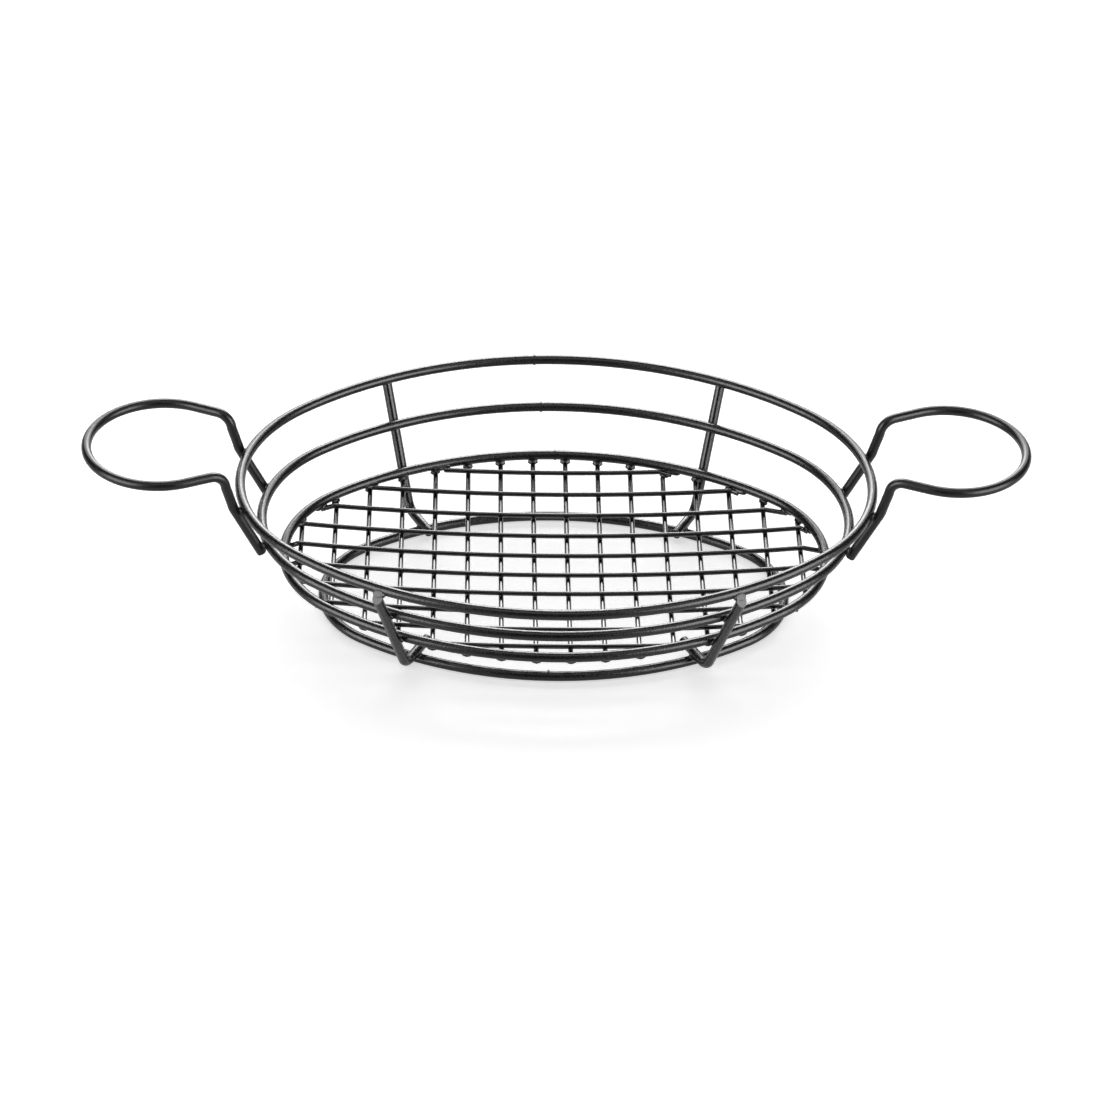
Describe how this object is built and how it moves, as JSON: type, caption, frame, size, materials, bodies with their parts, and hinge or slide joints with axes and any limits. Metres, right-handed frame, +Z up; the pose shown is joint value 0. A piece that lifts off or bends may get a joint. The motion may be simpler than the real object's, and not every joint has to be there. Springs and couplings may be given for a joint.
{
  "type": "serving basket",
  "caption": "Low oval serving basket of welded black wire, with a dished wire grid floor, a foot ring, corner uprights and a round loop at each end that holds a sauce cup.",
  "frame": {"origin": "on the floor, under the middle of the oval basket", "axes": "+X along the basket through both cup loops, +Y across it towards the back, +Z up"},
  "size_m": [0.3734, 0.1831, 0.075],
  "materials": {
    "frame_rings": "semi-gloss black powder coat on 4 mm steel wire",
    "frame_uprights": "semi-gloss black powder coat on bent 4 mm steel wire",
    "cup_loops": "semi-gloss black powder coat on bent 4 mm steel wire",
    "floor_grid": "semi-gloss black powder coat on 2 mm steel wire"
  },
  "bodies": {
    "root": {"rim_ring": "frame_rings", "middle_ring": "frame_rings", "lower_ring": "frame_rings", "foot_ring": "frame_rings", "upright_front_left": "frame_uprights", "upright_front_right": "frame_uprights", "upright_back_left": "frame_uprights", "upright_back_right": "frame_uprights", "left_cup_loop": "cup_loops", "right_cup_loop": "cup_loops", "long_wire_1": "floor_grid", "long_wire_2": "floor_grid", "long_wire_3": "floor_grid", "long_wire_4": "floor_grid", "long_wire_5": "floor_grid", "long_wire_6": "floor_grid", "long_wire_7": "floor_grid", "long_wire_8": "floor_grid", "long_wire_9": "floor_grid", "long_wire_10": "floor_grid", "cross_wire_1": "floor_grid", "cross_wire_2": "floor_grid", "cross_wire_3": "floor_grid", "cross_wire_4": "floor_grid", "cross_wire_5": "floor_grid", "cross_wire_6": "floor_grid", "cross_wire_7": "floor_grid", "cross_wire_8": "floor_grid", "cross_wire_9": "floor_grid", "cross_wire_10": "floor_grid", "cross_wire_11": "floor_grid", "cross_wire_12": "floor_grid", "cross_wire_13": "floor_grid", "cross_wire_14": "floor_grid", "cross_wire_15": "floor_grid", "cross_wire_16": "floor_grid"}
  },
  "joints": []
}
